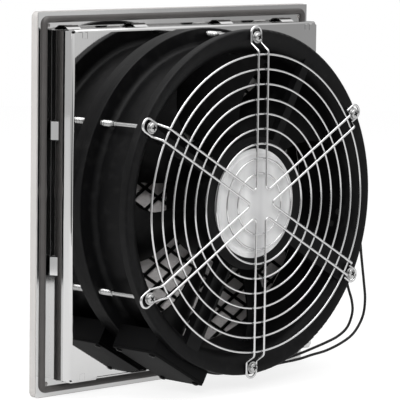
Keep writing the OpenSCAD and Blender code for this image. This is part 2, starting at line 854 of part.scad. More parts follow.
// Flange with the tube that carries both bearings
module motor_flange() {
    color("darkgray") rear_view() difference() {
        union() {
            translate([0, 0, motor_flange_front]) cylinder(r = motor_flange_r, h = motor_flange_t);
            translate([0, 0, tube_front]) cylinder(r = tube_r, h = motor_flange_front - tube_front + over);
        }
        translate([0, 0, tube_front - over])
            cylinder(r = bearing_r + bush_gap, h = seat_front - tube_front + 2 * over);
        for (k = [0:3]) at_angle(45 + 90 * k)
            translate([motor_screw_circle, 0, motor_flange_front - over])
                cylinder(r = motor_screw_r + bush_gap, h = motor_flange_t + 2 * over);
    }
}

module motor_screws() {
    color("silver") rear_view() for (k = [0:3]) at_angle(45 + 90 * k)
        translate([motor_screw_circle, 0, motor_flange_front]) {
            cylinder(r = motor_screw_r, h = seat_back - motor_head_t - motor_flange_front);
            translate([0, 0, seat_back - motor_head_t - motor_flange_front])
                cylinder(r = motor_head_r, h = motor_head_t - 0.2);
        }
}

module stator_core() {
    color("dimgray") rear_view() translate([0, 0, core_front]) difference() {
        cylinder(r = core_r, h = core_t);
        translate([0, 0, -over]) cylinder(r = tube_r + bush_gap, h = core_t + 2 * over);
        for (k = [0:core_slots - 1]) at_angle(k * 360 / core_slots) {
            translate([core_r - 6, 0, -over]) cylinder(r = slot_r, h = core_t + 2 * over);
            translate([core_r - 6, -1, -over]) cube([8, 2, core_t + 2 * over]);
        }
    }
}

module stator_windings() {
    width = winding_out_r - winding_in_r;
    round_r = 2.5;
    color([0.72, 0.42, 0.2]) rear_view() for (z = [core_front - winding_t, core_front + core_t])
        translate([0, 0, z]) rotate_extrude() translate([winding_in_r, 0]) {
            translate([round_r, 0]) square([width - 2 * round_r, winding_t]);
            translate([0, round_r]) square([width, winding_t - 2 * round_r]);
            for (x = [round_r, width - round_r], y = [round_r, winding_t - round_r])
                translate([x, y]) circle(round_r);
        }
}

// Ball bearing drawn as its rings and the shield between them
module bearing() {
    shield = 0.6;
    difference() {
        cylinder(r = bearing_r, h = bearing_t);
        translate([0, 0, -over]) cylinder(r = shaft_r + run_gap, h = bearing_t + 2 * over);
        for (z = [-over, bearing_t - shield]) translate([0, 0, z]) difference() {
            cylinder(r = bearing_r - 1.6, h = shield + over);
            translate([0, 0, -over]) cylinder(r = shaft_r + 1.8, h = shield + 3 * over);
        }
    }
}

module front_bearing() color("silver") rear_view() translate([0, 0, tube_front + 1]) bearing();

module rear_bearing() color("silver") rear_view() translate([0, 0, motor_flange_front - bearing_t]) bearing();

// Deep-drawn cup that turns round the stator
module rotor_bell() {
    boss_t = 1.5;
    boss_r = bell_r - 6;
    boss_slope = 2;
    vent_r = 4;
    vent_circle = 0.62 * bell_r;
    cut_l = boss_t + bell_wall + 2 * over;
    color([0.12, 0.12, 0.13]) rear_view() difference() {
        union() {
            translate([0, 0, bell_front]) cylinder(r = bell_r, h = bell_back - bell_front);
            translate([0, 0, bell_front - boss_t])
                cylinder(r1 = boss_r - boss_slope, r2 = boss_r, h = boss_t + over);
        }
        translate([0, 0, bell_front + bell_wall])
            cylinder(r = bell_r - bell_wall, h = bell_back - bell_front);
        translate([0, 0, bell_front - boss_t - over]) {
            cylinder(r = shaft_r + bush_gap, h = cut_l);
            for (k = [0:5]) at_angle(60 * k) translate([vent_circle, 0, 0]) cylinder(r = vent_r, h = cut_l);
        }
    }
}

module rotor_ring() {
    color("dimgray") rear_view() translate([0, 0, core_front]) difference() {
        cylinder(r = ring_out_r, h = core_t);
        translate([0, 0, -over]) cylinder(r = ring_in_r, h = core_t + 2 * over);
    }
}

module motor_shaft() {
    shoulder_t = 4;
    shoulder_r = shaft_r + 4;
    end_l = 1.5;
    color("silver") rear_view() {
        translate([0, 0, bell_front - 1])
            cylinder(r = shaft_r, h = motor_flange_front + end_l - bell_front + 1);
        translate([0, 0, bell_front + bell_wall]) cylinder(r = shoulder_r, h = shoulder_t);
    }
}

module shaft_clip() {
    clip_r = shaft_r + 2.4;
    clip_t = 0.8;
    mouth_w = 2.4;
    color("silver") rear_view() translate([0, 0, motor_flange_front + soft_gap]) difference() {
        cylinder(r = clip_r, h = clip_t);
        translate([0, 0, -over]) cylinder(r = shaft_r + bush_gap, h = clip_t + 2 * over);
        translate([0, -mouth_w / 2, -over]) cube([2 * clip_r, mouth_w, clip_t + 2 * over]);
    }
}

// Disc whose edge is the bowed line of a blade's leading or trailing edge
module bow_disc() {
    translate([blade_root_r + bow_chord / 2, blade_bow - bow_r, 0]) cylinder(r = bow_r, h = fan_depth);
}

// One sickle blade: a pressed sheet cut to its outline
module blade() {
    sheet_l = bow_chord + 40;
    room_front = fan_front + 4;
    room_l = fan_depth - 20;
    intersection() {
        translate([0, 0, blade_mid_z]) rotate([-blade_pitch, 0, 0])
            translate([blade_root_r - over, 0, -blade_camber_r]) rotate([0, 90, 0]) difference() {
                cylinder(r = blade_camber_r + blade_t / 2, h = sheet_l);
                translate([0, 0, -over]) cylinder(r = blade_camber_r - blade_t / 2, h = sheet_l + 2 * over);
            }
        translate([0, 0, room_front]) difference() {
            at_angle(blade_span / 2) bow_disc();
            at_angle(-blade_span / 2) bow_disc();
        }
        translate([0, 0, room_front]) difference() {
            cylinder(r = tip_r, h = room_l);
            translate([0, 0, -over]) cylinder(r = blade_root_r, h = fan_depth);
        }
    }
}

module impeller() {
    color([0.06, 0.06, 0.07]) rear_view() {
        translate([0, 0, blade_mid_z - hub_ring_l / 2]) difference() {
            cylinder(r = hub_ring_r, h = hub_ring_l);
            translate([0, 0, -over]) cylinder(r = bell_r + bush_gap, h = hub_ring_l + 2 * over);
        }
        for (k = [0:blade_count - 1]) at_angle(blade_phase + k * 360 / blade_count) blade();
    }
}

// The terminal box is drawn with its lid outwards along x, then turned to its place
module at_terminal() rear_view() at_angle(channel_angle) translate([0, 0, foot_flange_back]) children();

function lid_screw_places() = [
    for (y = [-1, 1], z = [lid_screw_inset, terminal_len - lid_screw_inset])
        [y * (terminal_w / 2 - lid_screw_inset), z]
];

module terminal_box() {
    bore_end = 1;
    color([0.08, 0.08, 0.09]) at_terminal() difference() {
        union() {
            difference() {
                translate([terminal_inner, -terminal_w / 2, 0])
                    cube([terminal_outer - terminal_inner, terminal_w, terminal_len]);
                translate([terminal_inner + terminal_floor, terminal_wall - terminal_w / 2, terminal_wall])
                    cube([terminal_reach, terminal_w - 2 * terminal_wall, terminal_len - 2 * terminal_wall]);
            }
            for (p = lid_screw_places()) translate([terminal_inner + 1, p[0], p[1]]) rotate([0, 90, 0])
                cylinder(r = lid_boss_r, h = terminal_outer - terminal_inner - 1);
        }
        for (p = lid_screw_places())
            translate([terminal_outer - lid_screw_l - bore_end, p[0], p[1]]) rotate([0, 90, 0])
                cylinder(r = lid_screw_r + bush_gap, h = lid_screw_l + bore_end + over);
        for (z = [outer_entry_z, inner_entry_z])
            translate([entry_radius, terminal_w / 2 - 2 * terminal_wall, z + fan_front - foot_flange_back])
                rotate([-90, 0, 0]) cylinder(r = grommet_neck_r + bush_gap, h = 4 * terminal_wall);
    }
}

module terminal_lid() {
    color([0.08, 0.08, 0.09]) at_terminal() difference() {
        translate([terminal_outer, -terminal_w / 2, 0]) cube([terminal_lid_t, terminal_w, terminal_len]);
        for (p = lid_screw_places()) translate([terminal_outer - over, p[0], p[1]]) rotate([0, 90, 0])
            cylinder(r = lid_screw_r + bush_gap, h = terminal_lid_t + 2 * over);
    }
}

module lid_screws() {
    color("silver") at_terminal() for (p = lid_screw_places())
        translate([terminal_outer - lid_screw_l, p[0], p[1]]) rotate([0, 90, 0]) {
            cylinder(r = lid_screw_r, h = lid_screw_l + terminal_lid_t);
            translate([0, 0, lid_screw_l + terminal_lid_t]) cylinder(r = lid_head_r, h = lid_head_t);
        }
}

module terminal_block() {
    pole_r = 1.8;
    pole_floor = 3;
    block_z = terminal_wall + 6;
    color("ivory") at_terminal()
        translate([terminal_inner + terminal_floor, -block_size[0] / 2, block_z]) difference() {
            cube([block_size[2], block_size[0], block_size[1]]);
            for (k = [0:3]) translate([pole_floor, (k + 0.5) * block_size[0] / 4, block_size[1] / 2])
                rotate([0, 90, 0]) cylinder(r = pole_r, h = block_size[2]);
        }
}

module run_capacitor() {
    capacitor_z = terminal_len - 18;
    color("whitesmoke") at_terminal()
        translate([terminal_inner + terminal_floor + capacitor_r, -capacitor_l / 2, capacitor_z])
            rotate([-90, 0, 0]) cylinder(r = capacitor_r, h = capacitor_l);
}

// Rubber bush in a wall, drawn with its collar outwards along z
module grommet(neck_l) {
    translate([0, 0, -neck_l]) cylinder(r = grommet_neck_r, h = neck_l);
    cylinder(r1 = grommet_r, r2 = grommet_r - 1.2, h = grommet_t);
}

module lead_grommets() {
    color([0.05, 0.05, 0.05]) rear_view() {
        for (e = [outer_exit, inner_exit]) at_angle(e[0])
            translate([duct_r + duct_wall + soft_gap, 0, fan_front + e[1]]) rotate([0, 90, 0])
                grommet(duct_wall);
        for (z = [outer_entry_z, inner_entry_z]) at_angle(channel_angle)
            translate([entry_radius, terminal_w / 2, fan_front + z]) rotate([-90, 0, 0])
                grommet(terminal_wall);
    }
}

// Smooth curve through a route's points
function spline_at(p, i, t) =
    let (
        n = len(p) - 1,
        a = p[max(i - 1, 0)],
        b = p[i],
        c = p[min(i + 1, n)],
        d = p[min(i + 2, n)]
    )
    0.5 * (2 * b + (c - a) * t + (2 * a - 5 * b + 4 * c - d) * t * t + (3 * b - a - 3 * c + d) * t * t * t);

function smooth_route(p) =
    concat(
        [for (i = [0:len(p) - 2], s = [0:lead_steps - 1]) spline_at(p, i, s / lead_steps)],
        [p[len(p) - 1]]
    );

// Round tube swept along a route, closed at both ends
module lead(route) {
    path = smooth_route(route);
    n = len(path);
    rings = [
        for (i = [0:n - 1])
            let (
                t = unit(path[min(i + 1, n - 1)] - path[max(i - 1, 0)]),
                side = unit(cross(t, [0, 0, 1])),
                rise = cross(side, t)
            )
            for (k = [0:lead_sides - 1])
                path[i] + lead_r * (cos(k * 360 / lead_sides) * side + sin(k * 360 / lead_sides) * rise)
    ];
    walls = [
        for (i = [0:n - 2], k = [0:lead_sides - 1])
            let (j = (k + 1) % lead_sides)
            [i * lead_sides + k, i * lead_sides + j, (i + 1) * lead_sides + j, (i + 1) * lead_sides + k]
    ];
    first = [for (k = [lead_sides - 1:-1:0]) k];
    last = [for (k = [0:lead_sides - 1]) (n - 1) * lead_sides + k];
    polyhedron(rings, concat([first], walls, [last]));
}

module outer_lead() color([0.05, 0.05, 0.05]) rear_view() lead(outer_route);

module inner_lead() color([0.05, 0.05, 0.05]) rear_view() lead(inner_route);

panel_frame();
louvre_door();
hinge_pins();
filter_mat();
filter_lattice();
mounting_frame();
rear_tray();
foam_seal();
front_flange();
fan_housing();
rear_flange();
motor_spider();
fixing_bolts();
fixing_washers();
spacer_sleeves();
fixing_nuts();
guard_rings();
guard_spokes();
hub_disc();
motor_flange();
motor_screws();
stator_core();
stator_windings();
front_bearing();
rear_bearing();
rotor_bell();
rotor_ring();
motor_shaft();
shaft_clip();
impeller();
terminal_box();
terminal_lid();
lid_screws();
terminal_block();
run_capacitor();
lead_grommets();
outer_lead();
inner_lead();
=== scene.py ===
# %% [markdown]
# # A cabinet filter fan
# A fan like this fills a square hole in a switch cabinet's wall. From inside the cabinet we see a
# polished sheet box, a round black fan and its bright wire guard; the grey louvred front stays
# outside. The solids come from the CAD frame and never move. Here they get their finish, their soft
# and threaded pieces, and a studio.

# %% Load the frame
import json
import math

import bmesh
import bpy
from mathutils import Matrix, Vector, noise


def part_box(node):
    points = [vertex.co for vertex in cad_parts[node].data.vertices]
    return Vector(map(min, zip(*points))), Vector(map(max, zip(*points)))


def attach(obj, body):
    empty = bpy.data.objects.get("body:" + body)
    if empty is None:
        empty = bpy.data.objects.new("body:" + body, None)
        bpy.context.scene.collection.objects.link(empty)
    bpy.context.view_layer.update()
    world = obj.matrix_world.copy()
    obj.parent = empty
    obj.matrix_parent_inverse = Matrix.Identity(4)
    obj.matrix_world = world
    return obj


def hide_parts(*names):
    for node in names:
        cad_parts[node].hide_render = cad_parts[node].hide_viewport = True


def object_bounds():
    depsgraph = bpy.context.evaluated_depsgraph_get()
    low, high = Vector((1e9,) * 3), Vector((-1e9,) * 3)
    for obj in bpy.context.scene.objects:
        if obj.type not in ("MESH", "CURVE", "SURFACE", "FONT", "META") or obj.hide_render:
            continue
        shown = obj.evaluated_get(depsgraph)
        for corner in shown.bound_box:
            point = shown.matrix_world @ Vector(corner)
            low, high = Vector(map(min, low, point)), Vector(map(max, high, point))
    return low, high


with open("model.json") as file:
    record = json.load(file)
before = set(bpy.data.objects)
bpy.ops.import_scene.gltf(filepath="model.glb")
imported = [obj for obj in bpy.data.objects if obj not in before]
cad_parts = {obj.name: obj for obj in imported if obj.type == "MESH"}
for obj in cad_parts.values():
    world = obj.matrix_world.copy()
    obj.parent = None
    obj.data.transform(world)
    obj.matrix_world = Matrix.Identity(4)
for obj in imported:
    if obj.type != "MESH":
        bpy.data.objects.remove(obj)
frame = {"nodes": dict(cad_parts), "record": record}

cad_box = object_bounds()
nodes = frame["nodes"]
print("nodes in the frame:", len(nodes))

# %% [markdown]
# ## The camera
# The picture was taken from behind the fan, from a little above and from far away with a long lens,
# so upright lines stay nearly parallel. We could drag a camera into place by eye. Instead it stands
# at a measured turn, height and distance from one point on the fan's axis, and rolls by under a
# degree.

# %% Camera
TURN = math.radians(135.23)
RISE = math.radians(6.283)
ROLL = math.radians(0.745)
DISTANCE = 2.4666
LENS_MM = 260.24
AIM = Vector((-0.0005, 0.0283, -0.00296))

towards_camera = Vector((math.sin(TURN) * math.cos(RISE), -math.cos(TURN) * math.cos(RISE),
                         math.sin(RISE)))
camera = bpy.data.objects.new("camera", bpy.data.cameras.new("camera"))
camera.data.lens = LENS_MM
camera.data.clip_end = 20
camera.location = AIM + towards_camera * DISTANCE
camera.rotation_mode = "QUATERNION"
roll = Matrix.Rotation(ROLL, 4, "Z").to_quaternion()
camera.rotation_quaternion = (-towards_camera).to_track_quat("-Z", "Y") @ roll
bpy.context.scene.collection.objects.link(camera)
bpy.context.scene.camera = camera
print("camera at", [round(x, 3) for x in camera.location])

# %% [markdown]
# ## The way of the two leads
# The motor's two leads leave the fan's duct through rubber bushes, hang in a loose loop beside it
# and go into the terminal box below. Each way is a short list of points, and the CAD solids
# follow the same ones. They are counted as seen from the fan's side (x right, y up, z away from the
# housing's front), so one function turns them into the frame.

# %% Points of the leads
FAN_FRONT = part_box("front_flange")[0].y
OUTER_POINTS = [
    (0.12965, -0.0182, 0.047), (0.1342, -0.0189, 0.047), (0.144, -0.023, 0.047),
    (0.151, -0.033, 0.047), (0.155, -0.046, 0.047), (0.157, -0.059, 0.047), (0.159, -0.071, 0.047),
    (0.161, -0.083, 0.047), (0.163, -0.099, 0.047), (0.160, -0.114, 0.047), (0.149, -0.127, 0.047),
    (0.134, -0.134, 0.047), (0.114, -0.139, 0.047), (0.095, -0.141, 0.047), (0.078, -0.143, 0.047),
    (0.060, -0.144, 0.046), (0.040, -0.145, 0.045), (0.020, -0.145, 0.044), (0.000, -0.146, 0.043),
    (-0.014, -0.146, 0.042), (-0.025, -0.144, 0.042), (-0.0344, -0.1406, 0.042),
    (-0.0387, -0.1382, 0.042),
]
INNER_POINTS = [
    (0.12755, -0.0294, 0.042), (0.1311, -0.0303, 0.042), (0.138, -0.038, 0.042),
    (0.140, -0.049, 0.042), (0.140, -0.061, 0.042), (0.142, -0.074, 0.042), (0.146, -0.087, 0.042),
    (0.151, -0.099, 0.042), (0.152, -0.110, 0.042), (0.146, -0.122, 0.042), (0.134, -0.129, 0.042),
    (0.119, -0.133, 0.042), (0.104, -0.136, 0.042), (0.088, -0.139, 0.042), (0.070, -0.142, 0.041),
    (0.050, -0.144, 0.040), (0.030, -0.145, 0.038), (0.010, -0.146, 0.036), (-0.010, -0.146, 0.035),
    (-0.024, -0.144, 0.034), (-0.0344, -0.1406, 0.034), (-0.0387, -0.1382, 0.034),
]


def from_fan_side(x, y, z):
    """A point seen from the fan's side, as a point of the frame."""
    return Vector((-x, FAN_FRONT + z, y))


print("points of the leads:", len(OUTER_POINTS), "and", len(INNER_POINTS))

# %% [markdown]
# ## Two leads
# A lead is a round line along a path, so a curve with a bevel is the natural tool: its thickness is
# one number. A smooth curve through all the points keeps the bends soft. It is then turned into a
# mesh, like every other piece, so that no control point reaches past the part.

# %% Leads
LEAD_D = 0.0024
LEAD_STEPS = 6
LEAD_ROUND = 4


def smooth_path(points, steps):
    """Points along the smooth curve that passes through all the given ones."""
    path = []
    for i in range(len(points) - 1):
        a, b, c, d = (points[min(max(i + k, 0), len(points) - 1)] for k in (-1, 0, 1, 2))
        for s in range(steps):
            t = s / steps
            path.append(0.5 * (2 * b + (c - a) * t + (2 * a - 5 * b + 4 * c - d) * t ** 2
                               + (3 * b - a - 3 * c + d) * t ** 3))
    return path + [points[-1]]


def make_lead(name, node, points):
    path = smooth_path([from_fan_side(*p) for p in points], LEAD_STEPS)
    curve = bpy.data.curves.new(name, "CURVE")
    curve.dimensions = "3D"
    curve.bevel_depth = LEAD_D / 2
    curve.bevel_resolution = LEAD_ROUND
    curve.use_fill_caps = True
    spline = curve.splines.new("POLY")
    spline.points.add(len(path) - 1)
    for point, place in zip(spline.points, path):
        point.co = (*place, 1)
    tube = bpy.data.meshes.new_from_object(bpy.data.objects.new(name + "_path", curve))
    tube.shade_smooth()
    lead = bpy.data.objects.new(name, tube)
    bpy.context.scene.collection.objects.link(lead)
    length = sum((b - a).length for a, b in zip(path, path[1:]))
    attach(lead, "frame")
    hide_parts(node)
    print(name, "is", round(length * 1000), "mm long")
    return lead


leads = [make_lead("outer_lead_wire", "outer_lead", OUTER_POINTS),
         make_lead("inner_lead_wire", "inner_lead", INNER_POINTS)]

# %% [markdown]
# ## Writing shaders as sums
# A finish is a small program: noise is scaled, shifted and mixed, and drives colour, roughness or
# bump. Wiring that by hand hides the sum behind boxes. So one class wraps a socket, and adding or
# multiplying two of them adds the Math node that does it. The reflected forms let a plain number
# stand first.

# %% Sockets that can be added and multiplied
class Value:
    """A number that varies over a surface: the output of a shader node."""

    def __init__(self, finish, socket):
        self.finish = finish
        self.socket = socket

    def math(self, operation, first, second):
        return self.finish.node("ShaderNodeMath", {"operation": operation}, {0: first, 1: second})

    def __add__(self, other):
        return self.math("ADD", self, other)

    def __radd__(self, other):
        return self.math("ADD", other, self)

    def __mul__(self, other):
        return self.math("MULTIPLY", self, other)

    def __rmul__(self, other):
        return self.math("MULTIPLY", other, self)


print("sums of sockets are ready")

# %% [markdown]
# ## A material under construction
# Every node comes from one method: the node's type, its settings, and the values or links of its
# sockets. A few short methods on top name the nodes that come back in most finishes. Colours go
# through Mix nodes, because a Math node would turn them grey, and constants stay on the shader's
# own sockets, where the export finds them.

# %% Finish
class Finish:
    """A material under construction. Its texture coordinates are metres in the frame."""

    def __init__(self, name, tree=None):
        if tree is None:
            self.material = bpy.data.materials.new(name)
            self.material.use_nodes = True
            tree = self.material.node_tree
        self.tree = tree
        self.tree.nodes.clear()

    def node(self, kind, settings=None, inputs=None, out=0):
        """Adds one node: its settings first, then the values or links of its sockets."""
        made = self.tree.nodes.new(kind)
        for key, value in (settings or {}).items():
            setattr(made, key, value)
        for key, value in (inputs or {}).items():
            if isinstance(value, Value):
                self.tree.links.new(value.socket, made.inputs[key])
            else:
                made.inputs[key].default_value = value
        return Value(self, made.outputs[out]) if len(made.outputs) else None

    def place(self, stretch=(1, 1, 1)):
        """Position on the piece, stretched along its axes."""
        where = self.node("ShaderNodeTexCoord", out="Object")
        return self.node("ShaderNodeMapping", inputs={"Vector": where, "Scale": stretch})

    def noise(self, scale, detail, stretch=(1, 1, 1)):
        return self.node("ShaderNodeTexNoise", inputs={
            "Vector": self.place(stretch), "Scale": scale, "Detail": detail})

    def cells(self, scale):
        return self.node("ShaderNodeTexVoronoi", inputs={"Vector": self.place(), "Scale": scale})

    def steps(self, value, low, high):
        """Nought below low, one above high, and a ramp between."""
        return self.node("ShaderNodeMapRange", inputs={
            "Value": value, "From Min": low, "From Max": high})

    def mix(self, share, first, second):
        """A colour between two others."""
        def full(shade):
            return shade if isinstance(shade, Value) else (*shade, 1)
        return self.node("ShaderNodeMix", {"data_type": "RGBA"}, {
            0: share, 6: full(first), 7: full(second)}, out=2)

    def bump(self, height, strength, distance):
        return self.node("ShaderNodeBump", inputs={
            "Height": height, "Strength": strength, "Distance": distance})

    def surface(self, fixed, **varying):
        """Ends the material: constants stay on the shader's own sockets, the rest is linked."""
        inputs = dict(fixed)
        inputs.update({key.replace("_", " "): value for key, value in varying.items()})
        shader = self.node("ShaderNodeBsdfPrincipled", inputs=inputs)
        self.node("ShaderNodeOutputMaterial", inputs={"Surface": shader})
        print(self.material.name, "has", len(self.tree.nodes), "nodes")
        return self.material


def grey(level):
    """A colour with the same red, green and blue."""
    return (level, level, level)


print("finishes can be written")

# %% [markdown]
# ## Moulded panel
# The front panel and its louvre door are light, warm-grey plastic. A mould is spark-eroded, which
# leaves a fine even grain that breaks up the gloss. One fast noise makes the grain and one slow
# noise the faint flow marks.

# %% Panel plastic
def panel_plastic():
    f = Finish("panel_plastic")
    grain = f.noise(2200, 2)
    flow = f.noise(14, 3)
    colour = f.mix(flow, (0.40, 0.385, 0.375), (0.455, 0.44, 0.43))
    return f.surface({"Specular IOR Level": 0.45}, Base_Color=colour,
                     Roughness=0.36 + 0.12 * flow, Normal=f.bump(grain, 0.18, 0.0002))


plastic = panel_plastic()

# %% [markdown]
# ## Polished sheet
# The box is folded from mirror-polished stainless sheet. It has hardly a colour of its own: what we
# see in it is the fan and the studio. Real sheet is never quite flat, so a slow bump bends the
# reflections, thin polishing lines run one way, and finger marks change the roughness in soft
# patches.

# %% Polished sheet
def polished_sheet():
    f = Finish("polished_sheet")
    lines = f.noise(900, 2, stretch=(1, 1, 0.02))
    marks = f.noise(22, 4)
    wave = f.noise(9, 1, stretch=(1, 1, 0.5))
    tint = f.mix(marks, (0.74, 0.735, 0.73), grey(0.80))
    rough = 0.02 + 0.04 * f.steps(marks, 0.45, 0.75) + 0.02 * lines
    return f.surface({"Metallic": 1.0}, Base_Color=tint, Roughness=rough,
                     Normal=f.bump(wave + 0.01 * lines, 0.12, 0.004))


sheet = polished_sheet()

# %% [markdown]
# ## Black paint
# The cast housing and the pressed blades carry a black paint with a satin gloss. Sprayed paint dries
# with a gentle orange-peel dimple, and a little pale dust settles in it. The blades get a smoother,
# darker coat.

# %% Black paint
PALE_DUST = (0.02, 0.0195, 0.0195)


def black_paint(name, tone, gloss, peel, shine):
    f = Finish(name)
    dimple = f.noise(650, 2)
    dust = f.steps(f.noise(130, 6), 0.5, 0.85)
    cloud = f.noise(16, 3)
    colour = f.mix(dust * 0.3, (tone, tone, tone * 1.08), PALE_DUST)
    return f.surface({"Specular IOR Level": shine}, Base_Color=colour,
                     Roughness=gloss + 0.12 * cloud + 0.1 * dust, Normal=f.bump(dimple, peel, 0.0004))


housing_paint = black_paint("housing_paint", 0.003, 0.36, 0.10, 0.12)
blade_paint = black_paint("blade_paint", 0.002, 0.30, 0.06, 0.08)

# %% [markdown]
# ## Chrome wire, zinc fasteners and cast alloy
# The guard is chrome-plated wire, almost a mirror. Bolts, washers and nuts are zinc plated: still
# metal, but with a spangled grain that blurs the reflection. Down in a screw's recess the metal is
# painted dark as painted shade, the small screws of the terminal box are plated black, and the
# motor's flange is cast. All are the same recipe with other numbers.

# %% Bright metals
def bright_metal(name, dark, light, smooth, rough, spangle):
    f = Finish(name)
    grain = f.cells(spangle)
    haze = f.noise(spangle / 6, 4)
    tint = f.mix(haze, dark, light)
    return f.surface({"Metallic": 1.0}, Base_Color=tint,
                     Roughness=smooth + (rough - smooth) * haze, Normal=f.bump(grain, 0.03, 0.0003))


chrome = bright_metal("chrome_wire", (0.72, 0.72, 0.725), grey(0.84), 0.05, 0.12, 1600)
zinc = bright_metal("zinc_plate", (0.50, 0.50, 0.495), grey(0.64), 0.14, 0.30, 1100)
# The dark metal for the screws' recesses is painted shade, not a finish of the metal.
recess_painted_shade = bright_metal("recess_painted_shade", grey(0.01), grey(0.03), 0.3, 0.5, 1100)
black_zinc = bright_metal("black_zinc", grey(0.008), grey(0.02), 0.3, 0.5, 1100)
cast_alloy = bright_metal("cast_alloy", (0.45, 0.45, 0.46), (0.58, 0.58, 0.59), 0.35, 0.55, 700)

# %% [markdown]
# ## Hub disc
# A thin aluminium disc covers the middle of the motor. Its face is brushed straight up and down, so
# the noise is stretched along Z until it turns into fine streaks. The disc is bare.

# %% Brushed disc
def brushed_disc():
    f = Finish("brushed_disc")
    streak = f.noise(420, 3, stretch=(1, 1, 0.03))
    broad = f.noise(60, 2, stretch=(1, 1, 0.06))
    tint = f.mix(f.steps(broad, 0.3, 0.7), (0.58, 0.58, 0.585), grey(0.82))
    return f.surface({"Metallic": 0.55}, Base_Color=tint, Roughness=0.34 + 0.16 * streak,
                     Normal=f.bump(streak, 0.06, 0.0002))


disc_metal = brushed_disc()

# %% [markdown]
# ## Filter felt and foam skin
# The mat is a felt of grey fibres: long thin noise in two directions, crossed, looks like felt from
# any distance. The seal is a poured foam bead with a closed skin, so it is smooth with a few pores
# and dull.

# %% Soft materials
def filter_felt():
    f = Finish("filter_felt")
    along = f.noise(700, 4, stretch=(0.08, 1, 1))
    across = f.noise(700, 4, stretch=(1, 1, 0.08))
    patch = f.noise(40, 4)
    fibres = f.node("ShaderNodeMath", {"operation": "MAXIMUM"}, {0: along, 1: across})
    shade = 0.6 * f.steps(fibres, 0.35, 0.75) + 0.4 * patch
    colour = f.mix(shade, (0.58, 0.555, 0.55), (0.88, 0.85, 0.845))
    return f.surface({"Specular IOR Level": 0.15}, Base_Color=colour, Roughness=0.9 + 0.1 * patch,
                     Normal=f.bump(fibres, 0.7, 0.0012))


def foam_skin():
    f = Finish("foam_skin")
    pores = f.steps(f.cells(900), 0.05, 0.35)
    skin = f.noise(90, 4)
    colour = f.mix(skin, (0.040, 0.037, 0.036), (0.062, 0.058, 0.056))
    return f.surface({"Specular IOR Level": 0.45}, Base_Color=colour, Roughness=0.34 + 0.16 * skin,
                     Normal=f.bump(pores + 0.5 * skin, 0.12, 0.0004))


felt = filter_felt()
foam = foam_skin()

# %% [markdown]
# ## Plastics and rubbers
# Lattice, terminal box, leads and bushes are dark plastics and rubbers, and the terminal block and
# the capacitor are ivory. They differ only in tone, gloss and grain, so one recipe serves them all.

# %% Mouldings
def moulding(name, dark, light, gloss, grain_scale, grain_depth, shine=0.22):
    f = Finish(name)
    grain = f.noise(grain_scale, 2)
    flow = f.noise(25, 3)
    return f.surface({"Specular IOR Level": shine}, Base_Color=f.mix(flow, dark, light),
                     Roughness=gloss + 0.12 * flow, Normal=f.bump(grain, grain_depth, 0.0003))


lattice_plastic = moulding("lattice_plastic", grey(0.002), grey(0.004), 0.5, 1500, 0.12)
box_plastic = moulding("box_plastic", (0.0015, 0.0015, 0.0017), (0.003, 0.003, 0.0032),
                       0.5, 1500, 0.15, shine=0.08)
lead_sheath = moulding("lead_sheath", grey(0.006), grey(0.011), 0.34, 1800, 0.05)
bush_rubber = moulding("bush_rubber", grey(0.012), grey(0.02), 0.6, 900, 0.15)
ivory = moulding("ivory_moulding", (0.62, 0.58, 0.48), (0.70, 0.66, 0.56), 0.4, 1500, 0.08)

# %% [markdown]
# ## Inside the motor
# The stator is a stack of thin steel sheets whose edges show as fine lines, and its windings are
# copper wire in lacquer. Both are layers: one noise, stretched flat for the sheets and left round
# for the wire, sets tone, roughness and bump together.

# %% Layered metals
def layered_metal(name, dark, light, layers, stretch):
    f = Finish(name)
    layer = f.noise(layers, 1, stretch=stretch)
    return f.surface({"Metallic": 0.85}, Base_Color=f.mix(f.steps(layer, 0.35, 0.65), dark, light),
                     Roughness=0.32 + 0.2 * layer, Normal=f.bump(layer, 0.3, 0.0004))


core_sheets = layered_metal("core_sheets", (0.16, 0.16, 0.17), (0.34, 0.34, 0.35),
                            2000, (0.02, 1, 0.02))
copper = layered_metal("lacquered_copper", (0.42, 0.18, 0.07), (0.72, 0.36, 0.16), 900, (1, 1, 1))

# %% [markdown]
# ## Dressing the nodes
# The part's record names a material slot for every node. We could pick each node by hand, but a
# table from slot to finish dresses all of them and can't forget one. Only the lattice, which is a
# shade lighter than the terminal box, and the two leads are dressed by name.

# %% Put the finishes on the nodes
FINISHES = {
    "grey_panel": plastic, "stainless_sheet": sheet, "zinc_steel": zinc, "chrome_wire": chrome,
    "filter_fibre": felt, "black_plastic": box_plastic, "black_housing": housing_paint,
    "black_blades": blade_paint, "foam": foam, "hub_silver": disc_metal,
    "cast_aluminium": cast_alloy, "core_steel": core_sheets, "copper": copper,
    "ivory_plastic": ivory, "black_rubber": bush_rubber, "lead_sheath": lead_sheath,
}
slot_of = {part["node"]: part["material_slot"] for part in frame["record"]["subparts"]}


def dress(piece, material):
    piece.data.materials.clear()
    piece.data.materials.append(material)


for name, node in nodes.items():
    dress(node, FINISHES[slot_of[name]])
dress(nodes["filter_lattice"], lattice_plastic)
for lead in leads:
    dress(lead, lead_sheath)
print("nodes dressed:", len(nodes), "in", len(FINISHES), "finishes")

# %% [markdown]
# ## Small meshes from numbers
# The next pieces are swept or turned shapes. Each is a list of rings of points, joined by quads,
# which is what a lathe or an extrusion does. One function joins the rings, one turns the faces
# outwards, and one puts the result into the scene on the fixed body.

# %% Rings to mesh
MM = 0.001
SAME_POINT = 1e-7
SHARP_EDGE = math.radians(35)


def ring_faces(rings, around, closed_path):
    """Quads between neighbouring rings that all have the same number of points."""
    faces = []
    for i in range(rings if closed_path else rings - 1):
        here, there = i * around, (i + 1) % rings * around
        for k in range(around):
            after = (k + 1) % around
            faces.append((here + k, here + after, there + after, there + k))
    return faces


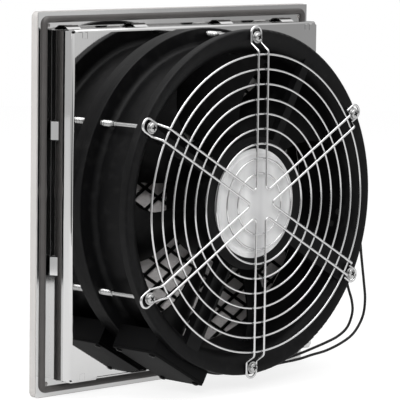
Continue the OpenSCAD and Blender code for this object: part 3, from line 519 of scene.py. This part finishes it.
def outward(mesh):
    """Joins points that coincide and turns every face outwards."""
    work = bmesh.new()
    work.from_mesh(mesh)
    bmesh.ops.remove_doubles(work, verts=work.verts, dist=SAME_POINT)
    bmesh.ops.recalc_face_normals(work, faces=work.faces)
    work.to_mesh(mesh)
    work.free()
    return mesh


def add_piece(name, mesh, material, slot, *replaced):
    """Links a finished mesh and makes it ride on the fixed body."""
    outward(mesh).shade_smooth()
    mesh.set_sharp_from_angle(angle=SHARP_EDGE)
    mesh.materials.append(material)
    piece = bpy.data.objects.new(name, mesh)
    bpy.context.scene.collection.objects.link(piece)
    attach(piece, "frame")
    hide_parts(*replaced)
    print(name, "has", len(mesh.polygons), "faces")
    return piece


print("mesh helpers are ready")

# %% [markdown]
# ## Foam seal
# The seal is poured as a liquid bead that foams up, so it has a round top, wanders a little, and
# swells where the end of the pour meets its start. A plain extrusion would look like a rubber cord.
# Here each ring of the sweep gets its own width from a slow noise, and one place gets the swelling
# of the pour's joint.

# %% Foam seal
SEAL_WIDTH = 5.5 * MM
SEAL_CORNER = 4 * MM
SEAL_STEP = 2 * MM
SEAL_ROUND = 18
CORNER_STEPS = 8
SEAL_WANDER = 0.05
WANDER_SCALE = 45
POUR_JOINT = Vector((0.1534, 0, 0.012))
POUR_SWELL = 0.30
POUR_SPREAD = 5 * MM
POUR_RISE = 1.12


def round_square(half, corner, step):
    """Points round a square with round corners, each with its outward direction."""
    run = half - corner
    straight = round(2 * run / step)
    for side in range(4):
        turn = Matrix.Rotation(side * math.pi / 2, 2)
        for i in range(straight):
            yield turn @ Vector((half, -run + 2 * run * i / straight)), turn @ Vector((1, 0))
        for i in range(CORNER_STEPS):
            a = math.pi / 2 * i / CORNER_STEPS
            out = Vector((math.cos(a), math.sin(a)))
            yield turn @ (Vector((run, run)) + corner * out), turn @ out


def foam_seal():
    low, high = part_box("foam_seal")
    rise = high.y - low.y
    radius = (SEAL_WIDTH ** 2 / 4 + rise ** 2) / (2 * rise)
    half_sweep = math.acos((radius - rise) / radius)
    points = []
    track = list(round_square(high.x - SEAL_WIDTH / 2, SEAL_CORNER, SEAL_STEP))
    for middle, out in track:
        place = Vector((middle.x, low.y, middle.y))
        away = (place - POUR_JOINT).length / POUR_SPREAD
        wander = SEAL_WANDER * noise.noise(place * WANDER_SCALE)
        size = 1 + wander + POUR_SWELL * math.exp(-away * away)
        for k in range(SEAL_ROUND):
            a = half_sweep * (2 * k / (SEAL_ROUND - 1) - 1)
            across = size * radius * math.sin(a)
            up = (rise - radius + radius * math.cos(a)) * min(size, POUR_RISE)
            points.append((place.x + out.x * across, low.y + max(up, 0), place.z + out.y * across))
    mesh = bpy.data.meshes.new("foam_bead")
    mesh.from_pydata(points, [], ring_faces(len(track), SEAL_ROUND, True))
    bead = add_piece("foam_bead", mesh, foam, "foam", "foam_seal")
    return bead


foam_seal()

# %% [markdown]
# ## Filter mat
# The mat is a soft slab cut from a roll of felt. A box would have razor edges, so its faces are grids
# whose points sink a little by noise, and its thickness falls away over the last millimetres before
# each edge.

# %% Filter mat
MAT_CELLS = 110
MAT_SINK = 0.7 * MM
MAT_EDGE = 6 * MM
MAT_EDGE_SHARE = 0.3
FUZZ_SCALE = 160
FUZZ_DEPTH_STRETCH = 9


def mat_point(low, high, i, j, face_y, inward):
    """A point of one face of the mat, sunk by the fuzz and the soft edge."""
    size = high - low
    x = low.x + size.x * i / MAT_CELLS
    z = low.z + size.z * j / MAT_CELLS
    edge = min(x - low.x, high.x - x, z - low.z, high.z - z)
    soft = max(0, 1 - edge / MAT_EDGE) ** 3 * size.y * MAT_EDGE_SHARE
    spot = Vector((x, face_y * FUZZ_DEPTH_STRETCH, z)) * FUZZ_SCALE
    fuzz = MAT_SINK * (0.5 + 0.5 * noise.noise(spot))
    return (x, face_y + inward * (fuzz + soft), z)


def mat_faces():
    """Quads of both grids, and of the four sides between them."""
    count, last = MAT_CELLS + 1, MAT_CELLS

    def at(face, i, j):
        return (face * count + i) * count + j

    faces = [(at(face, i, j), at(face, i + 1, j), at(face, i + 1, j + 1), at(face, i, j + 1))
             for face in (0, 1) for i in range(MAT_CELLS) for j in range(MAT_CELLS)]
    for i in range(MAT_CELLS):
        sides = [((i, 0), (i + 1, 0)), ((i, last), (i + 1, last)),
                 ((0, i), (0, i + 1)), ((last, i), (last, i + 1))]
        faces += [(at(0, *a), at(0, *b), at(1, *b), at(1, *a)) for a, b in sides]
    return faces


def felt_mat():
    low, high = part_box("filter_mat")
    steps = range(MAT_CELLS + 1)
    points = [mat_point(low, high, i, j, face_y, inward)
              for face_y, inward in ((low.y, 1), (high.y, -1)) for i in steps for j in steps]
    mesh = bpy.data.meshes.new("felt_mat")
    mesh.from_pydata(points, [], mat_faces())
    mat = add_piece("felt_mat", mesh, felt, "filter_fibre", "filter_mat")
    return mat


felt_mat()

# %% [markdown]
# ## Turned parts
# Fasteners are turned parts: a profile spun round an axis. A thread is the same lathe with a radius
# that climbs as it goes round, so a helical ridge needs no extra tool. The ends are capped, because
# only a closed mesh can be cut.

# %% Turned parts
AROUND = 36
THREAD_ROWS = 8
DOME_ANGLES = [math.radians(15 * k) for k in range(6)]
HEAD_SEAT = 0.96
HEAD_CHAMFER = 0.1
HEAD_STRAIGHT = 0.45
HEAD_MIDDLE = 0.02


def thread_rows(start, end, radius, pitch, depth):
    """Rows of a thread: (radius, height, depth of the groove) along the axis."""
    count = max(2, round((end - start) / pitch * THREAD_ROWS))
    return [(radius, start + (end - start) * i / count,
             depth * min(1, 3 * i / count, 3 - 3 * i / count)) for i in range(count + 1)]


def pan_head(radius, base, height):
    """Rows of a domed head, from its seat up to the middle."""
    seat = [(radius * HEAD_SEAT, base), (radius, base + HEAD_CHAMFER * height)]
    rim = base + HEAD_STRAIGHT * height
    crown = height - HEAD_STRAIGHT * height
    dome = [(radius * math.cos(a), rim + crown * math.sin(a)) for a in DOME_ANGLES]
    return seat + dome + [(HEAD_MIDDLE * radius, base + height)]


def turned(rows, pitch, hollow=False):
    """Spins rows of (radius, height[, groove depth]) round the local Z axis."""
    points = []
    for radius, height, *groove in rows:
        for k in range(AROUND):
            a = 2 * math.pi * k / AROUND
            turn = (height / pitch - k / AROUND) % 1
            r = radius - (groove[0] if groove else 0) * (1 - abs(2 * turn - 1))
            points.append((r * math.cos(a), r * math.sin(a), height))
    faces = ring_faces(len(rows), AROUND, hollow)
    if not hollow:
        faces += [tuple(range(AROUND)), tuple(range(len(points) - AROUND, len(points)))]
    mesh = bpy.data.meshes.new("turned")
    mesh.from_pydata(points, [], faces)
    return outward(mesh)


print("lathe with", AROUND, "points around")

# %% [markdown]
# ## Cross recesses and copies
# The cross in a screw's head is cut with a tapered cross by a Boolean modifier. A bump in the
# material would stay flat from the side. The cutter brings its own dark metal along, painted shade
# for the recess, so the recess keeps it. One screw is finished and then copied to all its places.

# %% Recess and copies
RECESS_TAPER = 0.6


def cross_cutter(top, arm, width, depth):
    """Two crossing bars that narrow towards the tip."""
    work = bmesh.new()
    for turn in (0, math.pi / 2):
        bar = bmesh.ops.create_cube(work, size=1)["verts"]
        for v in bar:
            taper = 1 if v.co.z > 0 else RECESS_TAPER
            height = top - depth + (v.co.z + 0.5) * 2 * depth
            v.co = Vector((v.co.x * 2 * arm * taper, v.co.y * width * taper, height))
        bmesh.ops.rotate(work, verts=bar, cent=(0, 0, 0), matrix=Matrix.Rotation(turn, 3, "Z"))
    mesh = bpy.data.meshes.new("cutter")
    work.to_mesh(mesh)
    work.free()
    return outward(mesh)


def cut(mesh, cutter_mesh):
    """The mesh less the cutter, as a new mesh."""
    mesh.materials.append(zinc)
    # The cutter's faces carry the painted shade of the recess.
    cutter_mesh.materials.append(recess_painted_shade)
    body = bpy.data.objects.new("body", mesh)
    cutter = bpy.data.objects.new("cutter", cutter_mesh)
    for o in (body, cutter):
        bpy.context.scene.collection.objects.link(o)
    tool = body.modifiers.new("recess", "BOOLEAN")
    tool.operation = "DIFFERENCE"
    tool.solver = "EXACT"
    tool.use_self = True
    tool.material_mode = "TRANSFER"
    tool.object = cutter
    now = bpy.context.evaluated_depsgraph_get()
    made = bpy.data.meshes.new_from_object(body.evaluated_get(now))
    for o in (body, cutter):
        bpy.data.objects.remove(o)
    return made


def copies(mesh, places):
    """One mesh with a copy of the given one at each matrix."""
    work = bmesh.new()
    for place in places:
        part = mesh.copy()
        part.transform(place)
        work.from_mesh(part)
    joined = bpy.data.meshes.new(mesh.name)
    work.to_mesh(joined)
    work.free()
    return joined


def add_screws(name, mesh, material, node):
    """Adds cut screws, with painted shade in their recesses."""
    screws = add_piece(name, mesh, material, "zinc_steel", node)
    screws.data.materials.append(recess_painted_shade)
    print("faces in the recesses:", sum(face.material_index for face in screws.data.polygons))
    return screws


def radial(angle):
    """The direction away from the fan's axis, the angle as seen from the fan's side."""
    return Vector((-math.cos(angle), 0, math.sin(angle)))


print("recess tapers to", RECESS_TAPER)

# %% [markdown]
# ## Fixing bolts
# Six long bolts hold guard, fan and rear plate together. Their domed heads sit in the loops of the
# guard and only their ends are threaded. A fitter leaves each cross at its own angle, so each copy
# is turned a little further than the last.

# %% Fixing bolts
BOLT_COUNT = 6
FIRST_BOLT = math.radians(30)
FIRST_CROSS = math.radians(20)
CROSS_TURN = math.radians(37)
BOLT_R = 2 * MM
BOLT_CIRCLE = 139 * MM
BOLT_HEAD_R = 4.1 * MM
BOLT_HEAD_T = 2.8 * MM
BOLT_THREAD = 12 * MM
BOLT_PITCH = 0.7 * MM
BOLT_GROOVE = 0.4 * MM
BOLT_TIP = 0.5 * MM
BOLT_LEAD_IN = 0.4 * MM
BOLT_RUN_OUT = 1 * MM
BOLT_CROSS = (2.9 * MM, 1.7 * MM, 1.9 * MM)
SCREW_POINT = 0.1 * MM
STAND_UP = Matrix.Rotation(-math.pi / 2, 4, "X")
bolt_angles = [FIRST_BOLT + 2 * math.pi * k / BOLT_COUNT for k in range(BOLT_COUNT)]
bolt_places = [Matrix.Translation(radial(a) * BOLT_CIRCLE) @ STAND_UP for a in bolt_angles]


def fixing_bolts():
    low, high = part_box("fixing_bolts")
    base = high.y - BOLT_HEAD_T
    end = low.y + BOLT_THREAD
    rows = [(SCREW_POINT, low.y), (BOLT_R - BOLT_TIP, low.y)]
    rows += thread_rows(low.y + BOLT_LEAD_IN, end, BOLT_R, BOLT_PITCH, BOLT_GROOVE)
    rows += [(BOLT_R, end + BOLT_RUN_OUT), (BOLT_R, base)]
    rows += pan_head(BOLT_HEAD_R, base, BOLT_HEAD_T)
    bolt = cut(turned(rows, BOLT_PITCH), cross_cutter(high.y, *BOLT_CROSS))
    places = [place @ Matrix.Rotation(FIRST_CROSS + CROSS_TURN * k, 4, "Z")
              for k, place in enumerate(bolt_places)]
    return add_screws("cross_head_bolts", copies(bolt, places), zinc, "fixing_bolts")


fixing_bolts()

# %% [markdown]
# ## Threaded sleeves
# A threaded sleeve sits on each bolt, one end in the fan's front flange and the other in the groove
# between the two flanges. It is the same lathe with a bore: the last ring joins the first, so the
# mesh closes on itself.

# %% Threaded sleeves
SLEEVE_PITCH = 2.0 * MM
SLEEVE_GROOVE = 0.6 * MM
SLEEVE_PLAY = 0.05 * MM
SLEEVE_CHAMFER = 0.5 * MM
SLEEVE_LEAD_IN = 0.3 * MM


def threaded_sleeves():
    low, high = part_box("spacer_sleeves")
    bore = BOLT_R + SLEEVE_PLAY
    outer = high.z - BOLT_CIRCLE
    rows = [(bore, low.y), (outer - SLEEVE_CHAMFER, low.y)]
    rows += thread_rows(low.y + SLEEVE_LEAD_IN, high.y - SLEEVE_LEAD_IN, outer, SLEEVE_PITCH,
                        SLEEVE_GROOVE)
    rows += [(outer - SLEEVE_CHAMFER, high.y), (bore, high.y)]
    sleeve = copies(turned(rows, SLEEVE_PITCH, hollow=True), bolt_places)
    return add_piece("threaded_sleeves", sleeve, zinc, "zinc_steel", "spacer_sleeves")


threaded_sleeves()

# %% [markdown]
# ## Lid screws
# Four small black screws hold the terminal box's lid, which faces down and to one side. They are
# turned, cut and copied like the bolts; only the way to their places differs. The turn from one
# screw to the next is in radians.

# %% Lid screws
LID_ANGLE = math.radians(-120)
LID_REACH = 155 * MM
LID_SCREW_SPREAD = 29 * MM
LID_SCREW_LEVELS = (13 * MM, 52 * MM)
LID_SCREW_R = 1.5 * MM
LID_SCREW_L = 9.5 * MM
LID_SCREW_PITCH = 0.6 * MM
LID_SCREW_GROOVE = 0.25 * MM
LID_SCREW_TIP = 0.3 * MM
LID_SCREW_NECK = 0.5 * MM
LID_HEAD_R = 2.75 * MM
LID_HEAD_T = 1.6 * MM
LID_CROSS = (1.6 * MM, 0.6 * MM, 1.0 * MM)
LID_SCREW_TURN = 40


def lid_screw():
    rows = [(SCREW_POINT, -LID_SCREW_L), (LID_SCREW_R - LID_SCREW_TIP, -LID_SCREW_L)]
    rows += thread_rows(-LID_SCREW_L + LID_SCREW_TIP, -LID_SCREW_NECK, LID_SCREW_R, LID_SCREW_PITCH,
                        LID_SCREW_GROOVE)
    rows += [(LID_SCREW_R, 0)] + pan_head(LID_HEAD_R, 0, LID_HEAD_T)
    return cut(turned(rows, LID_SCREW_PITCH), cross_cutter(LID_HEAD_T, *LID_CROSS))


def lid_screws():
    out = radial(LID_ANGLE)
    along = radial(LID_ANGLE + math.pi / 2)
    aim = out.to_track_quat("Z", "Y").to_matrix().to_4x4()
    places = []
    for side in (-1, 1):
        for level in LID_SCREW_LEVELS:
            spot = out * LID_REACH + along * side * LID_SCREW_SPREAD
            spot.y = FAN_FRONT + level
            twist = Matrix.Rotation(LID_SCREW_TURN * len(places), 4, "Z")
            places.append(Matrix.Translation(spot) @ aim @ twist)
    return add_screws("lid_screw_set", copies(lid_screw(), places), black_zinc, "lid_screws")


lid_screws()

# %% [markdown]
# ## Broken edges
# No real edge is perfectly sharp: sheet is deburred, castings have radii, and the thin bright line
# along such an edge is what tells the eye that the thing is solid. CAD solids arrive with sharp
# edges and with their vertices split, so a Weld modifier joins them again and a narrow Bevel breaks
# every edge above a set angle. The widths are in millimetres.

# %% Broken edges
EDGE_WIDTHS = {
    "panel_frame": 0.5, "louvre_door": 0.5, "mounting_frame": 0.15, "rear_tray": 0.15,
    "motor_spider": 0.5, "terminal_box": 0.5, "terminal_lid": 0.5, "hub_disc": 0.2,
    "fixing_nuts": 0.3, "fixing_washers": 0.15, "filter_lattice": 0.25, "motor_flange": 0.3,
    "rotor_bell": 0.4, "terminal_block": 0.4,
}
SPLIT_POINT = 2e-6
BROKEN_ANGLE = math.radians(40)


def break_edges(node, width):
    weld = node.modifiers.new("weld", "WELD")
    weld.merge_threshold = SPLIT_POINT
    bevel = node.modifiers.new("broken_edge", "BEVEL")
    bevel.width = width * MM
    bevel.segments = 2
    bevel.limit_method = "ANGLE"
    bevel.angle_limit = BROKEN_ANGLE
    bevel.use_clamp_overlap = True
    bevel.harden_normals = True


for name, width in EDGE_WIDTHS.items():
    break_edges(nodes[name], width)
print("edges broken on", len(EDGE_WIDTHS), "nodes")

# %% [markdown]
# ## The room
# The object stands in a white studio that is open, and dark, behind the photographer. Polished sheet
# shows this at once: the corner between flange and wall throws light straight back, so it mirrors
# the dark side. The rear plate mirrors the right wall, where a bright screen begins halfway, and
# above everything hangs a white ceiling. Modelling these walls would cost lamps and noise. So the
# world's colour depends on the direction for mirror rays, is plain white for the camera, and gives
# an even soft light to everything else.

# %% Room
WORLD_LIGHT = 0.62
DARK_SIDE = grey(0.006)
LEFT_SIDE = grey(0.50)
RIGHT_SIDE = grey(0.35)
RIGHT_SCREEN = grey(0.64)
WHITE = grey(1)
SCREEN_EDGE = (0.0, 0.05)
LEFT_TO_RIGHT = (-0.8, 0.8)
WALL_TO_CEILING = (0.3, 0.7)
OPEN_EDGE = (0.90, 0.97)
flat_aim = Vector((towards_camera.x, towards_camera.y, 0)).normalized()
to_the_right = Vector((-flat_aim.y, flat_aim.x, 0))


def reach(w, direction, along):
    """How far a direction points along an axis, from -1 to 1."""
    return w.node("ShaderNodeVectorMath", {"operation": "DOT_PRODUCT"}, {0: direction, 1: along},
                  out="Value")


def room_colour(w):
    """The room's colour in every direction."""
    direction = w.node("ShaderNodeTexCoord", out="Generated")
    facing = reach(w, direction, flat_aim)
    sideways = reach(w, direction, to_the_right)
    height = w.node("ShaderNodeSeparateXYZ", inputs={0: direction}, out="Z")
    right_wall = w.mix(w.steps(facing, *SCREEN_EDGE), RIGHT_SIDE, RIGHT_SCREEN)
    walls = w.mix(w.steps(sideways, *LEFT_TO_RIGHT), LEFT_SIDE, right_wall)
    lit_walls = w.mix(w.steps(height, *WALL_TO_CEILING), walls, WHITE)
    return w.mix(w.steps(facing, *OPEN_EDGE), lit_walls, DARK_SIDE)


def studio_room():
    world = bpy.data.worlds.new("studio")
    world.use_nodes = True
    bpy.context.scene.world = world
    w = Finish("studio", world.node_tree)
    eye, glint, through = (w.node("ShaderNodeLightPath", out=out) for out in (
        "Is Camera Ray", "Is Glossy Ray", "Is Transmission Ray"))
    shown = w.mix(eye, room_colour(w), WHITE)
    soft = w.node("ShaderNodeBackground", inputs={"Color": (*WHITE, 1), "Strength": WORLD_LIGHT})
    seen = w.node("ShaderNodeBackground", inputs={"Color": shown, "Strength": 1.0})
    either = w.steps(eye + glint + through, 0.0, 1.0)
    both = w.node("ShaderNodeMixShader", inputs={0: either, 1: soft, 2: seen})
    w.node("ShaderNodeOutputWorld", inputs={"Surface": both})
    return world


print("room has", len(studio_room().node_tree.nodes), "nodes")

# %% [markdown]
# ## The table
# The object stands on white paper. The paper ends well short of the camera, so the foot of the
# sheet mirrors paper and the rest mirrors the dark side. It has to be white to the camera and still
# keep the object's shadow. More lamps would burn out the pale panel. Instead the paper glows for
# camera and mirror rays only, and keeps a share of its lit surface, where the shadow lies.

# %% Table
TABLE_FRONT = 0.80
TABLE_FAR = 3.0
TABLE_GAP = 0.3 * MM
GLOW_SHARE = 0.72
GLOW = 1.14
MIRRORED_PAPER = grey(0.62)


def white_paper():
    f = Finish("table_white")
    colour = f.mix(f.noise(300, 3), grey(0.90), grey(0.93))
    lit = f.node("ShaderNodeBsdfDiffuse", inputs={"Color": colour})
    eye = f.node("ShaderNodeLightPath", out="Is Camera Ray")
    glint = f.node("ShaderNodeLightPath", out="Is Glossy Ray")
    through = f.node("ShaderNodeLightPath", out="Is Transmission Ray")
    shown = f.mix(eye, MIRRORED_PAPER, WHITE)
    glow = f.node("ShaderNodeEmission", inputs={"Color": shown, "Strength": GLOW})
    share = GLOW_SHARE * (eye + glint + through)
    both = f.node("ShaderNodeMixShader", inputs={0: share, 1: lit, 2: glow})
    f.node("ShaderNodeOutputMaterial", inputs={"Surface": both})
    return f.material


def table_top(z):
    corners = [flat_aim * a + to_the_right * b for a, b in (
        (TABLE_FRONT, -TABLE_FAR), (TABLE_FRONT, TABLE_FAR),
        (-TABLE_FAR, TABLE_FAR), (-TABLE_FAR, -TABLE_FAR))]
    mesh = bpy.data.meshes.new("table")
    mesh.from_pydata([(c.x, c.y, z) for c in corners], [], [(0, 1, 2, 3)])
    mesh.materials.append(white_paper())
    table = bpy.data.objects.new("table", mesh)
    bpy.context.scene.collection.objects.link(table)
    print("table at height", round(z, 4))
    return table


table_top(cad_box[0].z - TABLE_GAP)

# %% [markdown]
# ## The lamps
# A big soft box above gives the shadow under the fan, and a smaller one at the left lights the
# panel's rim. A third stands high behind the camera and shines through the duct onto the mat. It is
# hidden from mirror rays, or it would burn a white line into every bend of the sheet.

# %% Lamps
LIT_POINT = Vector((0, 0.03, 0))
FILL_PLACE = flat_aim * 2.05 + Vector((0, 0, 0.85))


def softbox(name, place, size, watts):
    lamp = bpy.data.lights.new(name, "AREA")
    lamp.shape = "RECTANGLE"
    lamp.size, lamp.size_y = size
    lamp.energy = watts
    box = bpy.data.objects.new(name, lamp)
    box.location = place
    box.rotation_mode = "QUATERNION"
    box.rotation_quaternion = (LIT_POINT - Vector(place)).to_track_quat("-Z", "Y")
    bpy.context.scene.collection.objects.link(box)
    print(name, "gives", watts, "watts")
    return box


softbox("top_box", (0.15, 0.25, 1.3), (1.2, 1.2), 11)
softbox("left_box", (0.9, -0.2, 1.1), (0.8, 1.2), 6)
softbox("front_box", FILL_PLACE, (0.9, 0.5), 30).visible_glossy = False
bpy.context.scene.view_settings.view_transform = "Standard"
